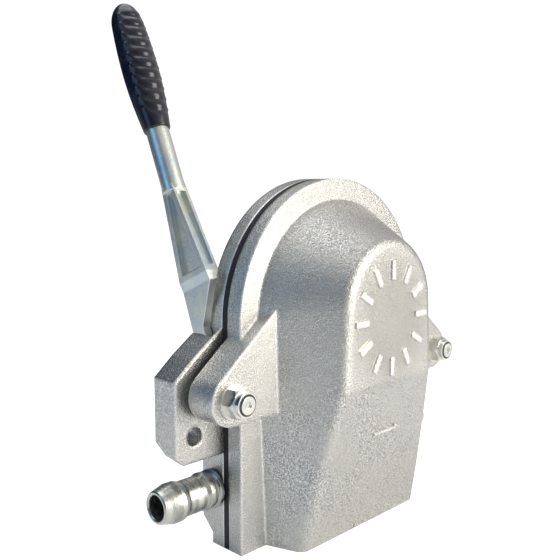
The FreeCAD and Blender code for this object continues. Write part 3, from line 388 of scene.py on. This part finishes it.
def cast_aluminium(name, relief, contrast):
    """Bright tumbled casting with dark specks in its pits, a slow mottle, and edges worn bright under a
    painted highlight.
    """
    material, tree, shader = plain_material(name, CAST_COLOUR, PIT_ROUGHNESS, CAST_METALLIC)
    skin = place_group(tree, cast_skin, Grain=1.0 / CAST_GRAIN)
    wear_and_highlight = place_group(tree, edge_wear_and_highlight, Radius=CAST_EDGE, Strength=CAST_WEAR_AND_HIGHLIGHT)
    pits = between(CAST_COLOUR, CAST_DARK, contrast)
    grains = between(CAST_COLOUR, CAST_BRIGHT, contrast)
    speckled = add_mix(tree, skin.outputs["Speckle"], pits, grains)
    dulled = add_mix(tree, MOTTLE_DULLING, speckled, CAST_COLOUR)
    mottled = add_mix(tree, skin.outputs["Mottle"], speckled, dulled)
    # Edges worn bright, with a painted highlight on them.
    worn_and_highlit = add_mix(tree, wear_and_highlight.outputs["Mask"], mottled, CAST_BRIGHT)
    tree.links.new(worn_and_highlit, shader.inputs["Base Color"])
    rough = add_range(tree, skin.outputs["Speckle"], 0.0, 1.0, PIT_ROUGHNESS, GRAIN_ROUGHNESS)
    tree.links.new(rough, shader.inputs["Roughness"])
    normal = add_bump(tree, skin.outputs["Height"], relief, wear_and_highlight.outputs["Normal"])
    tree.links.new(normal, shader.inputs["Normal"])
    return material


def dress(names, material):
    """Give CAD nodes a material."""
    for name in names:
        mesh = nodes[name].data
        if not mesh.materials:
            mesh.materials.append(material)
        for slot in nodes[name].material_slots:
            slot.material = material


def marked_cover():
    """The cover's casting, with its marks' tops rubbed bright and a painted shade about the ring's middle."""
    material = cast_aluminium("cast_cover", COVER_RELIEF, COVER_CONTRAST)
    tree = material.node_tree
    shader = tree.nodes["Principled BSDF"]
    base = shader.inputs["Base Color"].links[0].from_socket
    tops = place_group(tree, tops_and_painted_shade_group(), TopLevel=cad_low[1], MiddleHeight=RING_HEIGHT)
    # Painted shade: a soft darker disc about the ring's middle.
    shade_share = add_math(tree, "MULTIPLY", tops.outputs["PaintedShade"], PAINTED_SHADE_SHARE)
    ground = add_mix(tree, shade_share, base, COVER_PAINTED_SHADE)
    tree.links.new(add_mix(tree, tops.outputs["Rubbed"], ground, CAST_BRIGHT), shader.inputs["Base Color"])
    return material


dress(["front_cover"], marked_cover())
dress(["rear_body"], cast_aluminium("cast_housing", HOUSING_RELIEF, HOUSING_CONTRAST))


# ---- Flow arrow ----------------------------------------------------------------------------------
# A plain arrow stands low on the cover's face and points from the inlet to the outlet. It is cast in one
# with the cover, so its sides have draft and its edges are soft.

ARROW_X = 7.0 * MM
ARROW_Z = -12.0 * MM
ARROW_LENGTH = 32.0 * MM
ARROW_BAR = 2.6 * MM
ARROW_HEAD = 8.0 * MM
ARROW_SPREAD = 8.0 * MM
ARROW_RISE = 1.4 * MM
ARROW_SUNK = 0.6 * MM
ARROW_FOOT = 0.1 * MM
ARROW_DRAFT = 0.5 * MM
RAY_START = 50.0 * MM


def cover_point(x, z):
    """The point of the cover's front at a given side and height, found by a ray from before it."""
    start = Vector((x, cad_low[1] - RAY_START, z))
    hit, place, _, _ = nodes["front_cover"].ray_cast(start, Vector((0.0, 1.0, 0.0)))
    if not hit:
        raise RuntimeError("the cover has no face under the arrow")
    return place


def lattice_faces(rows, columns):
    """Quads of a grid that closes on itself along its columns, as an array of corner indices."""
    row, column = np.meshgrid(np.arange(rows - 1), np.arange(columns), indexing="ij")
    across = (column + 1) % columns
    quads = np.stack([row * columns + column, row * columns + across,
                      (row + 1) * columns + across, (row + 1) * columns + column], axis=-1)
    return quads.reshape(-1, 4)


def arrow_outline(draft):
    """The arrow's seven corners, as length and height, drawn in all round by the draft."""
    half_bar = ARROW_BAR / 2 - draft
    start = draft - ARROW_LENGTH / 2
    neck = ARROW_LENGTH / 2 - ARROW_HEAD
    wing = ARROW_SPREAD / 2 - draft
    tip = ARROW_LENGTH / 2 - draft
    return np.array([(start, -half_bar), (neck, -half_bar), (neck + draft, -wing), (tip, 0.0),
                     (neck + draft, wing), (neck, half_bar), (start, half_bar)])


def flow_arrow():
    """The outline on the cover's sloping face: a wide foot below the skin and a smaller top above it."""
    middle = cover_point(ARROW_X, ARROW_Z)
    above = cover_point(ARROW_X, ARROW_Z + ARROW_SPREAD)
    climb = (above - middle).normalized()
    outwards = Vector((1.0, 0.0, 0.0)).cross(climb)
    rings = []
    for draft, level in ((0.0, -ARROW_SUNK), (0.0, ARROW_FOOT), (ARROW_DRAFT, ARROW_RISE)):
        length, height = arrow_outline(draft).T[:, :, None]
        along = length * np.array((1.0, 0.0, 0.0))
        rings.append(np.array(middle) + along + height * np.array(climb) + level * np.array(outwards))
    corners = len(rings[0])
    faces = lattice_faces(len(rings), corners).tolist()
    faces.append(range(2 * corners, 3 * corners))
    arrow = surface("flow_arrow", np.concatenate(rings), faces, smooth=False)
    arrow.data.materials.append(nodes["front_cover"].material_slots[0].material)
    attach(arrow, "pump_body")


flow_arrow()


# ---- Diaphragm, seals and sealing rings ----------------------------------------------------------
# One rubber moulding is both the joint between the castings and the two pumping lobes. The shaft's seals
# and the rings under the hose tails are the same black rubber. It is dull, with dust in its grain.

RUBBER_COLOUR = (0.008, 0.008, 0.015, 1.0)
RUBBER_DUST = (0.026, 0.026, 0.034, 1.0)
CLEAN_SHINE = 0.06
DUST_DULLNESS = 0.12


def moulded_skin_group():
    """The skin of a moulding: fine pebbling over slow waves, with a mask for what settles on it."""
    tree, given, result = new_group("moulded_skin", {"Vector": "Vector", "Grain": "Float"},
                                    {"Height": "Float", "Dust": "Float"})
    pebbles = add_noise(tree, given.outputs["Vector"], given.outputs["Grain"], detail=2.0, roughness=0.5)
    waves = add_noise(tree, given.outputs["Vector"], scale=90.0, detail=3.0, roughness=0.6)
    tree.links.new(weighted_sum(tree, (pebbles, 0.6), (waves, 1.4)), result.inputs["Height"])
    tree.links.new(add_range(tree, waves, low=0.45, high=0.72), result.inputs["Dust"])
    return tree


moulded_skin = moulded_skin_group()


def moulding(name, colour, dust, roughness, grain, relief):
    """A moulded rubber or plastic: pebbled, a little uneven in gloss, with paler dust in places."""
    material, tree, shader = plain_material(name, colour, roughness)
    skin = place_group(tree, moulded_skin, Grain=1.0 / grain)
    tree.links.new(add_mix(tree, skin.outputs["Dust"], colour, dust), shader.inputs["Base Color"])
    rough = add_range(tree, skin.outputs["Dust"], 0.0, 1.0,
                      roughness - CLEAN_SHINE, roughness + DUST_DULLNESS)
    tree.links.new(rough, shader.inputs["Roughness"])
    tree.links.new(add_bump(tree, skin.outputs["Height"], relief), shader.inputs["Normal"])
    return material


black_rubber = moulding("black_rubber", RUBBER_COLOUR, RUBBER_DUST,
                        roughness=0.62, grain=0.5 * MM, relief=0.05 * MM)
dress(["diaphragm", "shaft_seal_left", "shaft_seal_right"], black_rubber)
dress(["inlet_sealing_ring", "outlet_sealing_ring"], black_rubber)


# ---- Shaft, rocker and clamps --------------------------------------------------------------------
# The drive shaft, its pins, the clamp discs and screws, and the valves' strips and rivets are ground
# stainless steel. The rocker is an aluminium casting. The bushes are sintered bronze, full of tiny pores,
# and a nylon plug closes the bore.

SHAFT_COLOUR = (0.56, 0.565, 0.58, 1.0)
SHAFT_DARK = (0.34, 0.345, 0.36, 1.0)
BRONZE_COLOUR = (0.56, 0.39, 0.19, 1.0)
BRONZE_PORE = (0.16, 0.10, 0.05, 1.0)
PORE_GRAIN = 0.45 * MM
PORE_RELIEF = 0.04 * MM
NYLON_COLOUR = (0.030, 0.030, 0.034, 1.0)
NYLON_DUST = (0.075, 0.075, 0.080, 1.0)
TOOL_SHINE = 0.07
TOOL_DULLNESS = 0.10
# Edges are brightened towards white by wear and a painted highlight.
EDGE_BRIGHTENING = 0.55
ALONG_X = (1.0, 0.02, 0.02)


def tool_marks_group():
    """Marks left by a cutting tool: a noise that changes fast along one direction and slowly across it."""
    tree, given, result = new_group("tool_marks", {"Vector": "Vector", "Stretch": "Vector", "Pitch": "Float"},
                                    {"Height": "Float", "Bands": "Float"})
    stretch = tree.nodes.new("ShaderNodeVectorMath")
    stretch.operation = "MULTIPLY"
    tree.links.new(given.outputs["Vector"], stretch.inputs[0])
    tree.links.new(given.outputs["Stretch"], stretch.inputs[1])
    stretched = stretch.outputs["Vector"]
    lines = add_noise(tree, stretched, given.outputs["Pitch"], detail=3.0, roughness=0.6)
    band_pitch = add_math(tree, "MULTIPLY", given.outputs["Pitch"], 0.22)
    wide = add_noise(tree, stretched, band_pitch, detail=2.0)
    tree.links.new(lines, result.inputs["Height"])
    tree.links.new(add_range(tree, wide, low=0.35, high=0.65), result.inputs["Bands"])
    return tree


tool_marks = tool_marks_group()


def turned_metal(name, colour, dark, roughness, pitch, relief, stretch, edge):
    """Machined metal: fine tool marks across its length, darker and brighter bands, and bright edges from
    wear and a painted highlight.
    """
    material, tree, shader = plain_material(name, colour, roughness, metallic=1.0)
    marks = place_group(tree, tool_marks, Pitch=1.0 / pitch, Stretch=stretch)
    wear_and_highlight = place_group(tree, edge_wear_and_highlight, Radius=edge, Strength=4.0)
    banded = add_mix(tree, marks.outputs["Bands"], dark, colour)
    # Bright edges: wear together with a painted highlight.
    bright = between(colour, WHITE, EDGE_BRIGHTENING)
    tree.links.new(add_mix(tree, wear_and_highlight.outputs["Mask"], banded, bright), shader.inputs["Base Color"])
    rough = add_range(tree, marks.outputs["Height"], 0.3, 0.7,
                      roughness - TOOL_SHINE, roughness + TOOL_DULLNESS)
    tree.links.new(rough, shader.inputs["Roughness"])
    normal = add_bump(tree, marks.outputs["Height"], relief, wear_and_highlight.outputs["Normal"])
    tree.links.new(normal, shader.inputs["Normal"])
    return material


ground_steel = turned_metal("ground_steel", SHAFT_COLOUR, SHAFT_DARK, roughness=0.26,
                            pitch=0.35 * MM, relief=0.015 * MM, stretch=ALONG_X, edge=0.4 * MM)
dress(["drive_shaft", "lever_pin", "rocker_pin"], ground_steel)
dress(["upper_clamp_disc", "lower_clamp_disc", "upper_clamp_screw", "lower_clamp_screw"], ground_steel)
for side in ("inlet", "outlet"):
    dress([side + "_flap_strips", side + "_flap_rivets"], ground_steel)
dress(["rocker"], cast_aluminium("rocker_casting", relief=HOUSING_RELIEF / 2, contrast=0.4))


def sintered_bronze():
    """Pressed and sintered bronze: small dark pores in a dull gold ground, slightly oily."""
    material, tree, shader = plain_material("sintered_bronze", BRONZE_COLOUR, 0.40, metallic=0.95)
    skin = place_group(tree, cast_skin, Grain=1.0 / PORE_GRAIN)
    metal = add_range(tree, skin.outputs["Height"], low=0.52, high=0.66)
    tree.links.new(add_mix(tree, metal, BRONZE_PORE, BRONZE_COLOUR), shader.inputs["Base Color"])
    tree.links.new(add_bump(tree, skin.outputs["Height"], PORE_RELIEF), shader.inputs["Normal"])
    return material


dress(["shaft_bush_left", "shaft_bush_right"], sintered_bronze())
black_nylon = moulding("black_nylon", NYLON_COLOUR, NYLON_DUST,
                       roughness=0.42, grain=0.4 * MM, relief=0.03 * MM)
dress(["shaft_end_plug"], black_nylon)


# ---- Lever ---------------------------------------------------------------------------------------
# The lever is a steel drop forging, plated in bright zinc. The plating is bluish with straw and green
# tints, its skin is faintly rippled by the die, and the ribs and edges are worn brighter under a painted
# highlight.

ZINC_BLUE = (0.60, 0.69, 0.74, 1.0)
ZINC_STRAW = (0.76, 0.79, 0.74, 1.0)
ZINC_BRIGHT = (0.95, 0.97, 0.96, 1.0)
ZINC_STAIN = (0.25, 0.28, 0.30, 1.0)
STAIN_SHARE = 0.6
STAIN_DULLNESS = 0.22


def zinc_plating_group():
    """Bright zinc over steel: slow tints, small stains, and the ripple of what lies under the plating."""
    tree, given, result = new_group("zinc_plating", {"Vector": "Vector", "TintScale": "Float"},
                                    {"Tint": "Float", "Stain": "Float", "Height": "Float"})
    place = given.outputs["Vector"]
    tint = add_noise(tree, place, given.outputs["TintScale"], detail=3.0, roughness=0.6)
    stain = add_noise(tree, place, scale=620.0, detail=4.0, roughness=0.65)
    ripple = add_noise(tree, place, scale=380.0, detail=3.0, roughness=0.5)
    tree.links.new(add_range(tree, tint, low=0.38, high=0.62), result.inputs["Tint"])
    tree.links.new(add_range(tree, stain, low=0.60, high=0.74), result.inputs["Stain"])
    tree.links.new(ripple, result.inputs["Height"])
    return tree


zinc_plating = zinc_plating_group()


def zinc_plate(name, roughness, relief, edge, tint_scale, base=ZINC_BLUE, tint=ZINC_STRAW):
    """Zinc-plated steel: tinted plating with small stains, a rippled skin, and edges worn bright under a
    painted highlight.
    """
    material, tree, shader = plain_material(name, base, roughness, metallic=1.0)
    plating = place_group(tree, zinc_plating, TintScale=tint_scale)
    wear_and_highlight = place_group(tree, edge_wear_and_highlight, Radius=edge, Strength=7.0)
    tinted = add_mix(tree, plating.outputs["Tint"], base, tint)
    staining = add_math(tree, "MULTIPLY", plating.outputs["Stain"], STAIN_SHARE)
    stained = add_mix(tree, staining, tinted, ZINC_STAIN)
    # Edges worn bright, with a painted highlight on them.
    tree.links.new(add_mix(tree, wear_and_highlight.outputs["Mask"], stained, ZINC_BRIGHT), shader.inputs["Base Color"])
    rough = add_range(tree, plating.outputs["Stain"], 0.0, 1.0, roughness, roughness + STAIN_DULLNESS)
    tree.links.new(rough, shader.inputs["Roughness"])
    normal = add_bump(tree, plating.outputs["Height"], relief, wear_and_highlight.outputs["Normal"])
    tree.links.new(normal, shader.inputs["Normal"])
    return material


lever_zinc = zinc_plate("lever_zinc", roughness=0.36, relief=0.16 * MM, edge=0.9 * MM, tint_scale=45.0)
dress(["handle_lever"], lever_zinc)


# ---- Grip ----------------------------------------------------------------------------------------
# The grip is a sleeve of glossy blue-black vinyl, dip-moulded on the bar. Its front has a row of curved
# finger grooves, a line of small pips runs down each side, and its back and its domed end are smooth.

GRIP_LEAN = math.radians(23.5)
STEM_SET = 13.1 * MM
GRIP_START = 168.8 * MM
GRIP_LENGTH = 103.1 * MM
GRIP_MOUTH = 0.6 * MM
GRIP_LAST = 0.9995
GRIP_WAIST = 9.7 * MM
GRIP_FULL = 13.4 * MM
GRIP_NECK = 11.5 * MM
FULL_AT = 0.47
NECK_AT = 0.87
DOME_AT = 0.84
DOME_POWER = 2.2
BAR_RADIUS = 8.45 * MM
LIPS = ((0.9 * MM, BAR_RADIUS), (0.0, BAR_RADIUS + 0.1 * MM), (0.0, GRIP_WAIST - 0.5 * MM))
GROOVES = 11
GROOVE_PITCH = 8.4 * MM
GROOVE_FIRST = 11.0 * MM
GROOVE_DEPTH = 0.95 * MM
GROOVE_WIDTH = 2.2 * MM
GROOVE_SWEEP = 7.0 * MM
GROOVE_REACH = math.radians(60)
GROOVE_FADE = math.radians(24)
RELIEF_END = 0.95
RELIEF_FADE = 10 * MM
PIP_ANGLE = math.radians(66)
PIP_HEIGHT = 0.85 * MM
PIP_RADIUS = 1.6 * MM
GRIP_ROWS = 260
GRIP_COLUMNS = 144
VINYL_COLOUR = (0.009, 0.010, 0.022, 1.0)
VINYL_DUST = (0.016, 0.017, 0.030, 1.0)
VINYL_COAT = 0.2
VINYL_COAT_ROUGHNESS = 0.12


def grip_radius(share):
    """Radius along the grip: a quarter sine up to the fullest point, a parabola down, then a round end."""
    rise = GRIP_WAIST + (GRIP_FULL - GRIP_WAIST) * np.sin(np.clip(share / FULL_AT, 0, 1) * np.pi / 2)
    fall = GRIP_FULL - (GRIP_FULL - GRIP_NECK) * ((share - FULL_AT) / (NECK_AT - FULL_AT)) ** 2
    body = np.where(share < FULL_AT, rise, fall)
    tip = np.clip((share - DOME_AT) / (1 - DOME_AT), 0, 1)
    return body * np.sqrt(np.clip(1 - tip ** DOME_POWER, 0, 1))


def grip_relief(distance, angle):
    """Relief of the grip: each groove is a bell-shaped dip whose line sweeps towards the end away from the
    front; each pip is a bell-shaped rise on a side line level with a groove."""
    fade = np.clip((GROOVE_REACH - np.abs(angle)) / GROOVE_FADE, 0, 1)
    window = fade * fade * (3 - 2 * fade)
    sweep = GROOVE_SWEEP * (1 - np.cos(angle))
    relief = np.zeros_like(distance)
    for index in range(GROOVES):
        middle = GROOVE_FIRST + GROOVE_PITCH * index
        offset = (distance - middle - sweep) / GROOVE_WIDTH
        relief -= GROOVE_DEPTH * window * np.exp(-offset ** 2)
        aside = (np.abs(angle) - PIP_ANGLE) * GRIP_FULL
        apart = ((distance - middle - GROOVE_PITCH / 2) ** 2 + aside ** 2) / PIP_RADIUS ** 2
        relief += PIP_HEIGHT * np.exp(-apart)
    end = np.clip((GRIP_LENGTH * RELIEF_END - distance) / RELIEF_FADE, 0, 1)
    return relief * end


def lever_place(across, back, along):
    """Points given across, behind and along the leaning lever, in the pump's own axes."""
    joints = {joint["name"]: joint for joint in frame["record"]["behaviour"]["joints"]}
    hinge = joints["lever_swing"]["pos_m"]
    y = hinge[1] + back * math.cos(GRIP_LEAN) + along * math.sin(GRIP_LEAN)
    z = hinge[2] - back * math.sin(GRIP_LEAN) + along * math.cos(GRIP_LEAN)
    return np.stack([across, y, z], axis=-1)


def grip_piece():
    """The sleeve: rings of the radius plus its relief about the bar, a lip at the mouth, a closed end."""
    low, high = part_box("handle_grip")
    middle_x = (low[0] + high[0]) / 2
    distance = np.linspace(GRIP_MOUTH, GRIP_LENGTH * GRIP_LAST, GRIP_ROWS)
    angle = np.linspace(-np.pi, np.pi, GRIP_COLUMNS, endpoint=False)
    distance, angle = np.meshgrid(distance, angle, indexing="ij")
    radius = grip_radius(distance / GRIP_LENGTH) + grip_relief(distance, angle)
    lip_distance, lip_radius = np.array(LIPS).T[:, :, None] * np.ones(GRIP_COLUMNS)
    distance = np.concatenate([lip_distance, distance])
    radius = np.concatenate([lip_radius, radius])
    angle = np.concatenate([angle[:len(LIPS)], angle])
    across = middle_x - radius * np.sin(angle)
    back = -STEM_SET - radius * np.cos(angle)
    points = lever_place(across, back, GRIP_START + distance).reshape(-1, 3)
    faces = lattice_faces(len(distance), GRIP_COLUMNS).tolist()
    faces.append(range(len(points) - GRIP_COLUMNS, len(points)))
    return surface("grip_sleeve", points, faces)


grip = grip_piece()
vinyl = moulding("glossy_vinyl", VINYL_COLOUR, VINYL_DUST,
                 roughness=0.29, grain=0.8 * MM, relief=0.05 * MM)
vinyl_shader = vinyl.node_tree.nodes["Principled BSDF"]
vinyl_shader.inputs["Coat Weight"].default_value = VINYL_COAT
vinyl_shader.inputs["Coat Roughness"].default_value = VINYL_COAT_ROUGHNESS
grip.data.materials.append(vinyl)
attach(grip, "lever_and_rocker")
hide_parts("handle_grip")


# ---- Cover fixings -------------------------------------------------------------------------------
# Two studs hold the cover, each with a washer and a self-locking nut. All are zinc-plated steel, brighter
# and smoother than the lever. A ring of dark nylon in each nut's collar grips the stud.

INSERT_OUTER = 7.3 * MM
INSERT_INNER = 6.05 * MM
INSERT_PROUD = 0.25 * MM
INSERT_DEPTH = 1.0 * MM
INSERT_BEVEL = 0.1 * MM
INSERT_COLUMNS = 64
FIXING_COLOUR = (0.74, 0.76, 0.76, 1.0)
FIXING_TINT = (0.86, 0.84, 0.76, 1.0)
WASHER_COLOUR = (0.78, 0.78, 0.76, 1.0)
WASHER_TINT = (0.90, 0.88, 0.80, 1.0)

bright_zinc = zinc_plate("fixing_zinc", roughness=0.20, relief=0.05 * MM, edge=0.7 * MM, tint_scale=130.0,
                         base=FIXING_COLOUR, tint=FIXING_TINT)
washer_zinc = zinc_plate("washer_zinc", roughness=0.28, relief=0.05 * MM, edge=0.5 * MM, tint_scale=90.0,
                         base=WASHER_COLOUR, tint=WASHER_TINT)
dress(["cover_nuts", "cover_studs"], bright_zinc)
dress(["cover_washers"], washer_zinc)


def nut_insert(name, side):
    """A flat ring round the stud's end: four corners of a section carried round the stud's axis."""
    nut_low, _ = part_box("cover_nuts")
    stud_low, stud_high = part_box("cover_studs")
    stud_x = stud_low[0] + INSERT_INNER if side < 0 else stud_high[0] - INSERT_INNER
    stud_z = (stud_low[2] + stud_high[2]) / 2
    front = nut_low[1] - INSERT_PROUD
    section = np.array([(INSERT_INNER, front + INSERT_DEPTH), (INSERT_INNER, front),
                        (INSERT_OUTER, front + INSERT_BEVEL), (INSERT_OUTER, front + INSERT_DEPTH)])
    angle = np.linspace(0, 2 * np.pi, INSERT_COLUMNS, endpoint=False)
    radius = section[:, 0][:, None]
    x = stud_x + radius * np.cos(angle)
    z = stud_z + radius * np.sin(angle)
    y = section[:, 1][:, None] * np.ones_like(angle)
    points = np.stack([x, y, z], axis=-1).reshape(-1, 3)
    faces = lattice_faces(len(section), INSERT_COLUMNS)
    closing = np.arange(INSERT_COLUMNS)
    following = (closing + 1) % INSERT_COLUMNS
    last = (len(section) - 1) * INSERT_COLUMNS
    seal = np.stack([last + closing, last + following, following, closing], axis=-1)
    ring = surface(name, points, np.concatenate([faces, seal]), smooth=False)
    ring.data.materials.append(black_nylon)
    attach(ring, "pump_body")


nut_insert("nut_insert_left", -1)
nut_insert("nut_insert_right", 1)


# ---- Hose tails ----------------------------------------------------------------------------------
# Each tail is turned from steel bar and plated. The turning tool has left chatter rings all along it, and
# the plating is bright with straw and grey bands.

TAIL_COLOUR = (0.80, 0.79, 0.73, 1.0)
TAIL_DARK = (0.46, 0.47, 0.45, 1.0)
TAIL_STRETCH = (1.0, 0.10, 0.10)

tail_metal = turned_metal("turned_tail", TAIL_COLOUR, TAIL_DARK, roughness=0.27,
                          pitch=0.9 * MM, relief=0.10 * MM, stretch=TAIL_STRETCH, edge=0.5 * MM)
dress(["inlet_hose_tail", "outlet_hose_tail"], tail_metal)


# ---- Valves --------------------------------------------------------------------------------------
# Two acetal plates stand in the cover and carry two ports each. A flap of brown-black rubber sheet lies on
# each port, and a steel strip with two rivets holds its upper edge.

ACETAL_COLOUR = (0.055, 0.055, 0.060, 1.0)
ACETAL_DUST = (0.11, 0.11, 0.115, 1.0)
FLAP_COLOUR = (0.022, 0.018, 0.015, 1.0)
FLAP_DUST = (0.060, 0.052, 0.045, 1.0)

grey_acetal = moulding("grey_acetal", ACETAL_COLOUR, ACETAL_DUST,
                       roughness=0.38, grain=0.6 * MM, relief=0.03 * MM)
dress(["inlet_valve_plate", "outlet_valve_plate"], grey_acetal)
flap_rubber = moulding("flap_rubber", FLAP_COLOUR, FLAP_DUST,
                       roughness=0.58, grain=0.35 * MM, relief=0.04 * MM)
dress([side + "_flap_" + level for side in ("inlet", "outlet") for level in ("upper", "lower")], flap_rubber)
